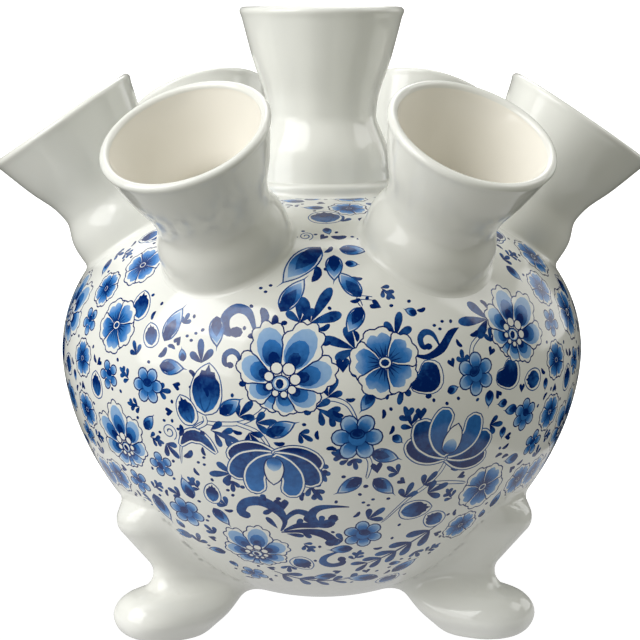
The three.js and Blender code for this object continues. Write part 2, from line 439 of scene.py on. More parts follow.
def softened(outline, reach, step):
    """An outline with its corners rounded: evenly spaced points, each the mean of those in reach."""
    along = np.append(0, np.cumsum(np.linalg.norm(np.diff(outline, axis=0), axis=1)))
    even = np.linspace(0, along[-1], round(along[-1] / step) + 1)
    points = np.stack([np.interp(even, along, outline[:, axis]) for axis in (0, 1)], -1)
    spread = np.minimum(reach, np.minimum(even, even[-1] - even) / 2) + step / 4
    weights = np.exp(-((even - even[:, None]) / spread[:, None]) ** 2)
    return weights @ points / weights.sum(1, keepdims=True)


def arc(x, y, radius, start, end, steps):
    """Points of an arc, with its angles in degrees."""
    turn = np.radians(np.linspace(start, end, steps + 1))
    return np.stack([x + radius * np.cos(turn), y + radius * np.sin(turn)], -1)


def hole_outline(skin, pose, bore, length):
    """Angles and outline lengths where a bore of that radius leaves the globe."""
    angle = np.arange(HOLE_POINTS) * math.tau / HOLE_POINTS
    points = moved(pose, ring_points(bore, angle, skin.meet(pose, length, bore, angle)))
    azimuth = np.arctan2(points[:, 0], -points[:, 1])
    return azimuth, np.interp(points[:, 2], skin.height, skin.length)


def hole_bore(spouts):
    """Radius of the tubes that stand in the globe's holes."""
    return spouts.neck - spouts.wall + TUBE_STEP


def covers(outline, spots):
    """Which spots an outline goes round, also where it crosses itself."""
    x0, y0 = outline.T[:, :, None]
    x1, y1 = np.roll(outline, -1, 0).T[:, :, None]
    x, y = spots.T
    side = (x1 - x0) * (y - y0) - (x - x0) * (y1 - y0)
    rising = ((y0 <= y) & (y1 > y) & (side > 0)).sum(0)
    falling = ((y0 > y) & (y1 <= y) & (side < 0)).sum(0)
    return rising != falling


def topmost(outlines, spots):
    """Number of the last outline that covers each spot, from 1, or 0 where none does."""
    order = np.argsort(spots[:, 0])
    across = spots[order, 0]
    result = np.zeros(len(spots), int)
    for number, outline in enumerate(outlines, 1):
        low, high = outline.min(0), outline.max(0)
        first, last = np.searchsorted(across, (low[0], high[0]))
        near = order[first:last]
        near = near[(spots[near, 1] > low[1]) & (spots[near, 1] < high[1])]
        result[near[covers(outline, spots[near])]] = number
    return result


def flat_shell(skin, spouts, sheet, grain, seed):
    """Cuts the unrolled skin, with its holes and its painted shapes, into triangles."""
    half = sheet.girth / 2
    bore = hole_bore(spouts) + HOLE_GAP
    bottom = np.interp(BOTTOM_CAP, skin.across[:QUARTER], skin.length[:QUARTER]) / MM
    top = np.interp(-bore, -skin.across[QUARTER + 1:], skin.length[QUARTER + 1:]) / MM
    pole = np.linspace(-half, half, POLE_POINTS + 1)
    rise = np.linspace(bottom, top, int((top - bottom) / BORDER_STEP) + 1)
    border = (
        [(u, bottom) for u in pole] + [(half, v) for v in rise[1:]]
        + [(u, top) for u in pole[::-1][1:]] + [(-half, v) for v in rise[::-1][1:-1]])
    holes = []
    for index in range(len(SIDE_SPOUTS)):
        pose = side_pose(sheet.skin, spouts, index)
        azimuth, length = hole_outline(skin, pose, bore, spouts.side_length)
        holes.append(np.stack([azimuth * sheet.unit, length / MM], -1))
    points, edges = [], []
    for outline in (border, *sheet.outlines, *holes):
        first, count = len(points), len(outline)
        points.extend(map(tuple, outline))
        edges.extend((first + k, first + (k + 1) % count) for k in range(count))
    edges.extend((len(points) + k, len(points) + k + 1) for k in range(POLE_POINTS))
    points.extend((u, widest_length(skin)) for u in pole)
    rows = int((top - bottom) / (grain * ROW_RISE))
    shaker = random.Random(seed)
    for row in range(1, rows):
        v = bottom + (top - bottom) * row / rows
        around = math.tau * np.interp(v * MM, skin.length, skin.across) / MM
        count = max(LEAST_IN_ROW, round(around / grain))
        for k in range(count):
            u = -half + (k + 0.35 + 0.3 * (row % 2)) * sheet.girth / count
            points.append((u + shaker.uniform(-JITTER, JITTER), v + shaker.uniform(-JITTER, JITTER)))
    made = delaunay_2d_cdt([Vector(p) for p in points], edges, [], 0, 1e-5, False)
    flat = np.array([(p.x, p.y) for p in made[0]])
    triangles = np.array(made[2])
    middle = flat[triangles].mean(1)
    kept = (np.abs(middle[:, 0]) < half) & (middle[:, 1] > bottom) & (middle[:, 1] < top)
    for hole in holes:
        kept &= ~covers(hole, middle)
    return flat, triangles[kept], topmost(sheet.outlines, middle[kept])


def stitched(flat, triangles, half):
    """Joins the sheet's two sides: points on the right side become those on the left."""
    join = np.arange(len(flat))
    used = np.zeros(len(flat), bool)
    used[triangles.ravel()] = True
    left = np.where(used & (flat[:, 0] < -half + 1e-4))[0]
    right = np.where(used & (flat[:, 0] > half - 1e-4))[0]
    left = left[np.argsort(flat[left, 1])]
    for point in right:
        join[point] = left[np.argmin(np.abs(flat[left, 1] - flat[point, 1]))]
    return join[triangles]


def layer_tone(sheet, flat, triangles, layers):
    """The pigment at each corner of each triangle, from the topmost shape that covers it."""
    table = np.array([(0, 0, 0, 0, 1, 0), *sheet.tones], float)
    start, end, x0, y0, x1, y1 = table[layers].T[:, :, None]
    corner = flat[triangles]
    narrow = sheet.across(corner[..., 1]) / sheet.unit
    dx, dy = (corner[..., 0] - x0) * narrow, corner[..., 1] - y0
    lx, ly = (x1 - x0) * narrow, y1 - y0
    share = (dx * lx + dy * ly) / np.maximum(lx ** 2 + ly ** 2, 1e-9)
    return start + (end - start) * np.clip(share, 0, 1)


def widest_length(skin):
    """Outline length of the widest ring, where the globe's two halves meet, in millimetres."""
    return np.interp(skin.widest, skin.height, skin.length) / MM


def shell_side(skin, spouts, sheet, grain, seed):
    """Points and triangles of one side of the globe's wall, with their pigment and which are in the dome."""
    flat, triangles, layers = flat_shell(skin, spouts, sheet, grain, seed)
    pigment = layer_tone(sheet, flat, triangles, layers)
    upper = flat[triangles].mean(1)[:, 1] > widest_length(skin)
    triangles = stitched(flat, triangles, sheet.girth / 2)
    whole = (triangles != np.roll(triangles, 1, 1)).all(1)
    points = skin.place(flat[:, 0] / sheet.unit, flat[:, 1] * MM)
    return points, triangles[whole], pigment[whole], upper[whole]


# Spouts

FLARE_SHAPE = [(0, 0), (0.13, 0.24), (0.55, 0.56), (1, 1)]  # shares out and up from the waist to the lip
BELL_SHAPE = [(0, 0), (0.3, 0.22), (0.85, 0.62), (1, 1)]  # shares out and down from the waist to the base
FLARE_STEPS, BELL_STEPS, LIP_STEPS, FILLET_RINGS = 9, 5, 8, 8
SPOUT_SEGMENTS = 96
LIP_LOW = 50  # degrees from the level down to the end of the lip's bead
WALL_STEP = 0.0007
NOOK = 0.0003  # radius of the corner above the collar
SKIRT, SKIRT_SINK = 0.0005, 0.0006  # the edge of the pooled glaze, just under the globe's skin
TUBE_SINK = 0.0012  # where the tube in the hole starts, under the globe's skin
TUBE_END = 0.0006  # how far its end is rounded


def shaped(shares, start, end):
    """Points at shares of the way from a start to an end."""
    (x0, y0), (x1, y1) = start, end
    return [(x0 + out * (x1 - x0), y0 + up * (y1 - y0)) for out, up in shares]


def spout_mesh(skin, inner, spouts, kind, pose):
    """Points and faces of one spout, from the top of its lip down the outside and back up the bore."""
    mouth, bell, flare, swell, length = (
        getattr(spouts, f"{kind}_{size}") for size in ("mouth", "bell", "flare", "swell", "length"))
    angle = np.arange(SPOUT_SEGMENTS) * math.tau / SPOUT_SEGMENTS
    lip, fillet = spouts.lip_round, spouts.seat_fillet
    waist = (spouts.neck, -flare)
    rings = []

    def ring(across, height):
        rings.append((across, np.broadcast_to(height, angle.shape)))

    def level_rings(outline):
        for across, height in outline:
            ring(across, height)

    groove = math.radians(LIP_LOW)
    top = (mouth - lip + lip * math.cos(groove), -lip - lip * math.sin(groove))
    level_rings(arc(mouth - lip, -lip, lip, 90, 0, LIP_STEPS))
    wall = np.concatenate([
        arc(mouth - lip, -lip, lip, 0, -LIP_LOW, LIP_STEPS),
        curve(shaped(FLARE_SHAPE, waist, top), FLARE_STEPS)[::-1][1:],
        curve(shaped(BELL_SHAPE, waist, (bell, -flare - swell)), BELL_STEPS)[1:]])
    level_rings(softened(wall, spouts.softness, WALL_STEP)[1:])
    edge, last = bell, -flare - swell
    if kind == "centre":
        edge = bell + spouts.collar_width
        last = spouts.collar_height - length
        soft = spouts.collar_height / 2
        level_rings(arc(bell + NOOK, last + NOOK, NOOK, 180, 270, 3))
        level_rings(arc(edge - soft, last - soft, soft, 90, 0, 6))
        last = last - soft
    seat = skin.meet(pose, length, edge, angle) + fillet
    for share in (0.25, 0.5, 0.75):
        ring(edge, last + (seat - last) * share)
    for turn in np.radians(np.linspace(0, 90, FILLET_RINGS)):
        across = edge + fillet - fillet * math.cos(turn)
        ring(across, skin.meet(pose, length, across, angle) + fillet - fillet * math.sin(turn))
    ring(edge + fillet + SKIRT, skin.meet(pose, length, edge + fillet + SKIRT, angle) - SKIRT_SINK)
    tube, bore = hole_bore(spouts), spouts.neck - spouts.wall
    ring(tube, skin.meet(pose, length, tube, angle) - TUBE_SINK)
    deep = inner.meet(pose, length, tube, angle)
    ring(tube, deep)
    ring((tube + bore) / 2, deep - TUBE_END)
    inner_first = len(rings)
    ring(bore, deep)
    ring(bore, (deep - flare) / 2)
    level_rings(curve(shaped(FLARE_SHAPE, (bore, -flare), (mouth - 2 * lip, -lip)), FLARE_STEPS))
    inner_last = len(rings)
    level_rings(arc(mouth - lip, -lip, lip, 180, 90, LIP_STEPS)[1:-1])
    points = np.concatenate([ring_points(across, angle, height) for across, height in rings])
    inside = np.zeros((len(rings), SPOUT_SEGMENTS))
    inside[inner_first:inner_last] = 1
    return moved(pose, points), tube_faces(len(rings)), inside


def tube_faces(count):
    """Quads between rings of points, the last of which joins the first."""
    faces = []
    for k in range(count):
        upper, lower = k * SPOUT_SEGMENTS, (k + 1) % count * SPOUT_SEGMENTS
        for i in range(SPOUT_SEGMENTS):
            j = (i + 1) % SPOUT_SEGMENTS
            faces.append((upper + j, upper + i, lower + i, lower + j))
    return faces


def make_spout(skin, inner, spouts, kind, pose, name, material):
    """One spout as an object, with the number that tells its inside from its outside."""
    points, faces, inside = spout_mesh(skin, inner, spouts, kind, pose)
    piece = make_piece(name, points, faces, material)
    set_values(piece, "inside", "POINT", inside)
    return piece


# Feet

EDGE_SOFTNESS = 0.002
LEAST_REACH = 0.008  # of the inner edge from the vase's axis
FOOT_SINK = 0.00003  # how far the foot's outer edge lies under the globe's skin
FOOT_ROOT = 0.001  # how deep the foot reaches into the globe's wall
FOOT_SPREAD = 0.0015  # how far the foot's foothold on the globe reaches beyond the blend
PUSHES = 6  # how often the mesh's points are moved onto the surface
LEAST_SLOPE = 0.05  # of what a push is divided by


def foot_front(foot):
    """Reach of the foot's front against height: toe scroll, ankle hollow and knee."""
    toe = (foot.toe_reach - foot.toe_round, foot.toe_round)
    return np.concatenate([
        arc(*toe, foot.toe_round, -90, 75, 24),
        arc(toe[0], 2 * foot.toe_round + foot.ankle_round, foot.ankle_round, 240, 135, 12),
        arc(foot.knee_reach - foot.knee_round, foot.knee_height, foot.knee_round, -45, 80, 18)])


def eased_steps(height, stations):
    """A width eased from station to station."""
    result = np.full(height.shape, stations[0][1])
    for (low, narrow), (high, wide) in zip(stations, stations[1:]):
        share = np.clip((height - low) / (high - low), 0, 1)
        result = result + (wide - narrow) * share * share * (3 - 2 * share)
    return result


def smooth_least(a, b, width):
    """The lesser of two values, with a soft change from one to the other."""
    share = np.clip(0.5 + 0.5 * (b - a) / width, 0, 1)
    return b * (1 - share) + a * share - width * share * (1 - share)


def foot_body(foot, points):
    """About the distance to the foot that points to the front, below 0 inside."""
    front_line = foot_front(foot)
    x, reach, height = points[..., 0], -points[..., 1], points[..., 2]
    front = np.interp(height, front_line[:, 1], front_line[:, 0])
    heel = np.maximum(foot.heel_reach - math.tan(foot.heel_slope) * height, LEAST_REACH)
    width = eased_steps(height, [
        (0, foot.sole_width), (foot.toe_round, foot.toe_width),
        (2 * foot.toe_round + foot.ankle_round, foot.ankle_width), (foot.knee_height, foot.knee_width)])
    middle, half = (front + heel) / 2, (front - heel) / 2
    power = foot.squareness
    share = ((np.abs(x) / (width / 2)) ** power + (np.abs(reach - middle) / half) ** power) ** (1 / power)
    side = (share - 1) * np.minimum(width / 2, half)
    below_top = front_line[-1, 1] - height
    return -smooth_least(smooth_least(-side, height, EDGE_SOFTNESS), below_top, EDGE_SOFTNESS)


def foot_union(skin, foot, points):
    """The foot and the globe flowing into each other."""
    return smooth_least(foot_body(foot, points), skin.distance(points), foot.blend)


def foot_value(skin, foot, points):
    """Below 0 in the foot's own piece, which ends just under the globe's skin."""
    body, globe = foot_body(foot, points), skin.distance(points)
    union = smooth_least(body, globe, foot.blend) + FOOT_SINK
    return np.maximum(np.maximum(union, -globe - FOOT_ROOT), body - foot.blend - FOOT_SPREAD)


def steepness(value, points, step=0.00005):
    """Gradient of a value at some points."""
    result = []
    for axis in range(3):
        shift = np.zeros(3)
        shift[axis] = step
        result.append((value(points + shift) - value(points - shift)) / (2 * step))
    return np.stack(result, -1)


def surface_net(value, low, high, grain):
    """Points and quads of the surface where a value is 0."""
    axes = [np.arange(a, b + grain, grain) for a, b in zip(low, high)]
    grid = np.stack(np.meshgrid(*axes, indexing="ij"), -1)
    inside = value(grid) < 0
    size = np.array(inside.shape) - 1
    corners = np.zeros(size, int)
    for shift in np.ndindex(2, 2, 2):
        corners += inside[tuple(slice(s, s + n) for s, n in zip(shift, size))]
    active = (corners > 0) & (corners < 8)
    index = np.full(size, -1)
    index[active] = np.arange(active.sum())
    points = grid[:-1, :-1, :-1][active] + grain / 2
    faces = []
    for axis in range(3):
        u, v = (axis + 1) % 3, (axis + 2) % 3
        here = [slice(1, -1)] * 3
        there = [slice(1, -1)] * 3
        here[axis] = slice(0, -1)
        there[axis] = slice(1, None)
        first, second = inside[tuple(here)], inside[tuple(there)]
        for leaving in (True, False):
            crossing = np.argwhere((first != second) & (first == leaving))
            crossing[:, u] += 1
            crossing[:, v] += 1
            around = []
            for du, dv in ((-1, -1), (0, -1), (0, 0), (-1, 0)):
                cell = crossing.copy()
                cell[:, u] += du
                cell[:, v] += dv
                around.append(index[tuple(cell.T)])
            quads = np.stack(around if leaving else around[::-1], -1)
            faces.append(quads)
    faces = np.concatenate(faces)
    faces = faces[(faces >= 0).all(1)]
    for _ in range(PUSHES):
        slope = steepness(value, points)
        squared = np.maximum((slope ** 2).sum(-1, keepdims=True), LEAST_SLOPE)
        push = value(points)[:, None] * slope / squared
        points = points - np.clip(push, -grain, grain)
    return points, faces


# Materials

GLAZE_IOR = 1.52
UNEVEN_GLOSS = 0.05
WAVE_STRENGTH, WAVE_HEIGHT = 0.35, 0.0004
PALE_TONE, MIDDLE_TONE = 0.3, 0.6  # tones at which the wash is pale and middle blue
WASH_DEPTH, STREAK_DEPTH = 0.5, 0.25  # how much the brush's unevenness changes a tone

# How fine the noises are, from broad clouds to narrow streaks
CLOUD_SCALE, WAVE_SCALE, GLOSS_SCALE, WASH_SCALE, STREAK_SCALE = 26, 38, 90, 210, 900


class Signal:
    """A node's output that Python's operators do sums with."""

    def __init__(self, finish, socket):
        self.finish = finish
        self.socket = socket

    def sum(self, operation, other):
        return self.finish.node("ShaderNodeMath", {"operation": operation}, {0: self, 1: other})

    def __add__(self, other):
        return self.sum("ADD", other)

    def __sub__(self, other):
        return self.sum("SUBTRACT", other)

    def __mul__(self, other):
        return self.sum("MULTIPLY", other)


class Finish:
    """A material that is being put together from nodes."""

    def __init__(self, name):
        self.material = bpy.data.materials.new(name)
        self.material.use_nodes = True
        self.tree = self.material.node_tree
        self.tree.nodes.clear()

    def node(self, kind, settings, inputs, output=0):
        """One node: its settings are set first, then its sockets' values or links."""
        made = self.tree.nodes.new(kind)
        for key, value in settings.items():
            if key == "stops":
                for place, colour in value[2:]:
                    made.color_ramp.elements.new(place)
                for stop, (place, colour) in zip(made.color_ramp.elements, value):
                    stop.position = place
                    stop.color = (*colour, 1)
            else:
                setattr(made, key, value)
        for key, value in inputs.items():
            if isinstance(value, Signal):
                self.tree.links.new(value.socket, made.inputs[key])
            else:
                made.inputs[key].default_value = value
        return Signal(self, made.outputs[output]) if made.outputs else None

    def value(self, name):
        """One of the numbers that the mesh carries."""
        return self.node("ShaderNodeAttribute", {"attribute_name": name}, {}, "Fac")

    def noise(self, scale, detail, roughness=0.5):
        """Noise at the place on the vase, in metres."""
        place = self.node("ShaderNodeTexCoord", {}, {}, "Object")
        return self.node(
            "ShaderNodeTexNoise", {},
            {"Vector": place, "Scale": scale, "Detail": detail, "Roughness": roughness})

    def mix(self, factor, first, second):
        return self.node("ShaderNodeMix", {"data_type": "RGBA"}, {0: factor, 6: first, 7: second}, 2)

    def surface(self, **inputs):
        shader = self.node("ShaderNodeBsdfPrincipled", {}, inputs)
        self.node("ShaderNodeOutputMaterial", {}, {"Surface": shader})
        return self.material


def glazed(finish, glaze, colour):
    """The glossy glaze over a colour, with its slight waves and its slightly uneven gloss."""
    waves = finish.noise(WAVE_SCALE, 1)
    bump = finish.node(
        "ShaderNodeBump", {}, {"Strength": WAVE_STRENGTH, "Distance": WAVE_HEIGHT, "Height": waves}, "Normal")
    rough = finish.noise(GLOSS_SCALE, 3) * UNEVEN_GLOSS + (glaze.roughness - UNEVEN_GLOSS / 2)
    return finish.surface(**{
        "Base Color": colour, "Roughness": rough, "Normal": bump, "IOR": GLAZE_IOR, "Coat Weight": 0.0})


def bare_ground(finish, glaze):
    """The off-white of the bare glaze, slightly cooler where it lies thick."""
    return finish.mix(finish.noise(CLOUD_SCALE, 3), (*glaze.ground, 1), (*glaze.ground_cool, 1))


def white_glaze(glaze):
    """The bare glaze, a little warmer inside the spouts."""
    finish = Finish("white_glaze_finish")
    colour = finish.mix(finish.value("inside"), bare_ground(finish, glaze), (*glaze.inside, 1))
    return glazed(finish, glaze, colour)


def patterned_glaze(glaze):
    """Cobalt under the glaze: the painted tone with the unevenness of a brush wash."""
    finish = Finish("patterned_glaze_finish")
    pigment = finish.value("pigment")
    wash = finish.noise(WASH_SCALE, 3, 0.6)
    streak = finish.noise(STREAK_SCALE, 2)
    tone = pigment * ((wash - 0.5) * WASH_DEPTH + (streak - 0.5) * STREAK_DEPTH + 1)
    stops = [(BARE, glaze.pale), (PALE_TONE, glaze.pale), (MIDDLE_TONE, glaze.middle), (INK, glaze.dark)]
    paint = finish.node("ShaderNodeValToRGB", {"stops": stops}, {"Fac": tone})
    cover = finish.node(
        "ShaderNodeMapRange", {"clamp": True}, {"Value": tone, "From Min": BARE, "From Max": PALE_TONE})
    return glazed(finish, glaze, finish.mix(cover, bare_ground(finish, glaze), paint))


def stage_white(colour, glow):
    """A dull white that glows a little."""
    return Finish("stage_white").surface(**{
        "Base Color": (*colour, 1), "Roughness": 0.9, "Emission Color": (1, 1, 1, 1),
        "Emission Strength": glow})


# Operators

INNER_GRAIN = 2.5  # how much coarser the inner side of the globe's wall is

# How far beside, in front of, below and above a foot its surface is looked for
SIDE_MARGIN, FRONT_MARGIN, LOW_MARGIN, HIGH_MARGIN = 0.006, 0.002, 0.0018, 0.026


class VaseOperator(bpy.types.Operator):
    """Shared by the operators that build the vase"""
    bl_options = {"REGISTER", "UNDO"}

    def execute(self, context):
        self.build(context.scene.tulip_vase)
        return {"FINISHED"}


class TULIPVASE_OT_globe(VaseOperator):
    """Builds the hollow globe with its painted pattern"""
    bl_idname = "tulipvase.globe"
    bl_label = "Painted globe"

    def build(self, vase):
        outer, inner = Skin(vase.globe), Skin(vase.globe, -vase.globe.wall)
        sheet = Sheet(outer)
        paint_pattern(sheet, vase.pattern)
        seed, grain = vase.pattern.seed, vase.pattern.grain / MM
        points, faces, pigment, upper = shell_side(outer, vase.spouts, sheet, grain, seed)
        inner_points, inner_faces, inner_pigment, inner_upper = shell_side(
            inner, vase.spouts, Sheet(outer), INNER_GRAIN * grain, seed)
        inner_faces = inner_faces[:, ::-1] + len(points)
        points = np.concatenate([points, inner_points])
        normals = np.concatenate([outer.normal(points[:-len(inner_points)]), -inner.normal(inner_points)])
        paint = patterned_glaze(vase.glaze)
        for part, name in enumerate(("bowl", "dome")):
            front, back = upper == part, inner_upper == part
            piece = build_half(
                vase.globe, f"painted_{name}", paint, points, normals, faces[front], inner_faces[back],
                np.concatenate([pigment[front], inner_pigment[back]]))
            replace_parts(piece, f"globe_{name}")


def boundary_loops(faces):
    """Open edges of a mesh as loops of points."""
    edges = np.concatenate([faces[:, [0, 1]], faces[:, [1, 2]], faces[:, [2, 0]]])
    key = np.sort(edges, 1)
    _, first, count = np.unique(key, axis=0, return_index=True, return_counts=True)
    following = {int(a): int(b) for a, b in edges[first[count == 1]]}
    loops = []
    while following:
        start, point = following.popitem()
        loop = [start]
        while point != start:
            loop.append(point)
            point = following.pop(point)
        loops.append(loop)
    return loops


def build_half(globe, name, paint, points, normals, outer_faces, inner_faces, pigment):
    """Closes the two sides of a half at the lowest point, round the holes and at the widest ring."""
    lowest = globe.widest - globe.drop
    near_bottom = globe.widest - globe.drop / 2
    inner_loops = boundary_loops(inner_faces)
    middle = lambda loop: points[loop].mean(0)
    added = []
    for loop in boundary_loops(outer_faces):
        if middle(loop)[2] < near_bottom:
            added += fan(loop, len(points))
        else:
            mate = min(inner_loops, key=lambda other: np.linalg.norm(middle(other) - middle(loop)))
            added += lining(points, loop, mate)
    for loop in inner_loops:
        if middle(loop)[2] < near_bottom:
            added += fan(loop, len(points) + 1)
    points = np.concatenate([points, [(0, 0, lowest), (0, 0, lowest + globe.wall)]])
    normals = normals / np.linalg.norm(normals, axis=1, keepdims=True)
    normals = np.concatenate([normals, [(0, 0, -1), (0, 0, 1)]])
    faces = np.concatenate([outer_faces, inner_faces, added])
    pigment = np.concatenate([pigment, np.zeros((len(added), 3))])
    used, packed = np.unique(faces, return_inverse=True)
    piece = make_piece(
        name, points[used], packed.reshape(-1, 3).tolist(), paint, normals[used])
    set_values(piece, "pigment", "CORNER", pigment)
    return piece


def fan(loop, tip):
    """Triangles from an open loop to a tip."""
    return [(b, a, tip) for a, b in zip(loop, loop[1:] + loop[:1])]


def lining(every, loop, mate):
    """Triangles between an outer loop and the inner loop that faces it."""
    mate = mate[::-1]
    start = int(np.argmin(np.linalg.norm(every[mate] - every[loop[0]], axis=1)))
    mate = mate[start:] + mate[:start]
    made = []
    i = j = 0
    total, other = len(loop), len(mate)
    while i < total or j < other:
        if j * total >= i * other and i < total:
            made.append((loop[(i + 1) % total], loop[i % total], mate[j % other]))
            i += 1
        else:
            made.append((loop[i % total], mate[j % other], mate[(j + 1) % other]))
            j += 1
    return made


class TULIPVASE_OT_spouts(VaseOperator):
    """Builds the ring of six side spouts and the centre spout with its collar"""
    bl_idname = "tulipvase.spouts"
    bl_label = "Spouts"

    def build(self, vase):
        spouts = vase.spouts
        outer, inner = Skin(vase.globe), Skin(vase.globe, -vase.globe.wall)
        white = white_glaze(vase.glaze)
        for index, side in enumerate(SIDE_SPOUTS):
            pose, name = side_pose(outer, spouts, index), f"glazed_spout_{side}"
            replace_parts(make_spout(outer, inner, spouts, "side", pose, name, white), f"spout_{side}")
        pose = spout_pose(0, 0, outer.widest + outer.rise + spouts.centre_length, 0)
        name = "glazed_centre_spout"
        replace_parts(make_spout(outer, inner, spouts, "centre", pose, name, white), "centre_spout")


class TULIPVASE_OT_feet(VaseOperator):
    """Builds the three scroll feet, which flow into the globe"""
    bl_idname = "tulipvase.feet"
    bl_label = "Scroll feet"

    def build(self, vase):
        foot = vase.foot
        skin = Skin(vase.globe)
        white = white_glaze(vase.glaze)
        value = lambda points: foot_value(skin, foot, points)
        side = foot.knee_width / 2 + foot.blend + SIDE_MARGIN
        low = (-side, -foot.toe_reach - FRONT_MARGIN, -LOW_MARGIN)
        high = (side, 0.0, foot.knee_height + HIGH_MARGIN)
        points, faces = surface_net(value, low, high, foot.grain)
        normals = steepness(lambda p: foot_union(skin, foot, p), points)
        normals = normals / np.maximum(np.linalg.norm(normals, axis=1, keepdims=True), 1e-9)
        for index, name in enumerate(FEET):
            turn = Matrix.Rotation(foot.first_azimuth + index * math.tau / len(FEET), 4, "Z")
            piece = make_piece(
                f"glazed_foot_{name}", moved(turn, points), faces.tolist(), white,
                moved(turn, normals))
            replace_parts(piece, f"foot_{name}")


class TULIPVASE_OT_stage(VaseOperator):
    """Builds the floor, the backdrop, the lights and the camera"""
    bl_idname = "tulipvase.stage"
    bl_label = "Stage"

    def build(self, vase):
        stage = vase.stage
        scene = bpy.context.scene
        scene.view_settings.view_transform = "Standard"
        card = add_sheet(
            "floor_card", [(-CARD_HALF, 0), (CARD_HALF, 0)], CARD_HALF, stage_white(stage.card, CARD_GLOW))
        card.visible_camera = False
        bend = arc(FLOOR_END, BEND_RADIUS, BEND_RADIUS, -90, 0, 12)
        sweep = [(-FLOOR_HALF, 0), *bend, (FLOOR_END + BEND_RADIUS, WALL_HEIGHT)]
        floor = add_sheet("floor", sweep, FLOOR_HALF, stage_white(stage.floor, FLOOR_GLOW), 2 * SHEET_DROP)
        floor.visible_diffuse = False
        floor.visible_glossy = False
        world = bpy.data.worlds.new("studio")
        scene.world = world
        world.use_nodes = True
        background = world.node_tree.nodes["Background"].inputs
        background["Color"].default_value = SKY_COLOUR
        background["Strength"].default_value = SKY_STRENGTH
        world.cycles_visibility.glossy = False
        for name, *light in SOFTBOXES:
            add_softbox(name, *light)
        lens = bpy.data.cameras.new("camera")
        lens.lens = stage.lens
        lens.sensor_width = SENSOR_WIDTH
        camera = add_object("camera", lens)
        camera.location = stage.camera_place
        camera.rotation_euler = (math.pi / 2 - stage.camera_dip, 0, -stage.camera_turn)
        scene.camera = camera


CARD_HALF, CARD_GLOW = 0.14, 0.47
FLOOR_HALF, FLOOR_END, FLOOR_GLOW = 3.2, 1.2, 0.6
BEND_RADIUS, WALL_HEIGHT = 0.6, 2.4
SHEET_DROP = 0.0001
SKY_COLOUR, SKY_STRENGTH = (1, 1, 0.86, 1), 0.28
SENSOR_WIDTH = 36  # in millimetres
SOFTBOX_DISTANCE = 1.7
SOFTBOX_TARGET = Vector((0, 0, 0.09))
SOFTBOXES = (  # name, angles from the front to the right and up, width, height and brightness
    ("window_low", -62, 14, 1.5, 0.85, 2.9), ("window_middle", -60, 40, 1.4, 0.85, 4.6),
    ("window_high", -66, 66, 0.9, 0.85, 1.7), ("right", 90, 40, 0.9, 0.85, 2.4),
    ("right_low", 120, 14, 0.9, 0.85, 1.5), ("back", 180, 52, 0.9, 1.4, 2.6))


def add_sheet(name, sweep, half_width, material, drop=SHEET_DROP):
    """A stage sheet that runs along a line of places from the front to the back and up."""
    points = np.array([(x, y, z) for y, z in sweep for x in (-half_width, half_width)]) - [0, 0, drop]
    faces = [(2 * k, 2 * k + 1, 2 * k + 3, 2 * k + 2) for k in range(len(sweep) - 1)]
    sheet = add_mesh(name, points, faces, material)
    sheet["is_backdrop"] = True
    return sheet


def add_softbox(name, azimuth, elevation, width, height, brightness):
    """A soft rectangular light that faces the vase."""
    turn, lift = math.radians(azimuth), math.radians(elevation)
    aim = Vector((math.cos(lift) * math.sin(turn), -math.cos(lift) * math.cos(turn), math.sin(lift)))
    lamp = bpy.data.lights.new(name, "AREA")
    lamp.shape = "RECTANGLE"
    lamp.size = width
    lamp.size_y = height
    lamp.energy = brightness * math.pi * width * height
    softbox = add_object(name, lamp)
    softbox.location = SOFTBOX_TARGET + aim * SOFTBOX_DISTANCE
    softbox.rotation_euler = aim.to_track_quat("Z", "Y").to_euler()


# Pattern

LINE = 0.42  # the thin edges, in millimetres
INK, FULL, HALF, WASH, BARE = 1.0, 0.86, 0.64, 0.36, 0.0  # tones, from the darkest to the bare glaze


def inset(outline, depth):
    """An outline drawn in by a depth, or grown by a negative one."""
    along = np.roll(outline, -1, 0) - np.roll(outline, 1, 0)
    along = along / np.maximum(np.linalg.norm(along, axis=1, keepdims=True), 1e-9)
    x, y = outline.T
    turn = np.sign((x * np.roll(y, -1) - y * np.roll(x, -1)).sum())
    return outline + turn * depth * np.stack([-along[:, 1], along[:, 0]], -1)


def stroke(line, widths, size=1):
    """The outline of a round-ended brush stroke along a line, with its widths at even steps."""
    line = np.asarray(line, float) * size
    along = np.gradient(line, axis=0)
    along = along / np.linalg.norm(along, axis=1, keepdims=True)
    side = np.stack([along[:, 1], -along[:, 0]], -1)
    share = np.linspace(0, 1, len(line))
    half = np.interp(share, np.linspace(0, 1, len(widths)), np.array(widths) * size) / 2
    half = half * np.sqrt(1 - np.clip(share * 6 - 5, 0, 0.99) ** 2)
    side = side * half[:, None]
    return np.concatenate([line + side, (line - side)[::-1]])


def oval(x, y, across, up, steps=12):
    turn = np.arange(steps) * math.tau / steps
    return np.stack([x + across * np.cos(turn), y + up * np.sin(turn)], -1)


def mirrored(side, steps, width, length):
    """A closed outline from its right side, which runs up from the middle line and back to it."""
    side = curve(np.array(side) * (width, length), steps)
    return np.concatenate([side, side[::-1][1:-1] * [-1, 1]])


def almond(length, width):
    return mirrored([(0, 0), (0.36, 0.15), (0.5, 0.42), (0.34, 0.75), (0, 1)], 3, width, length)


def egg(length, width):
    return mirrored([(0, 0), (0.36, 0.1), (0.5, 0.42), (0.34, 0.8), (0, 1)], 3, width, length)


def midline(low, high):
    """A line up the middle of a shape, for a wash."""
    return [(0, low), (0, high)]


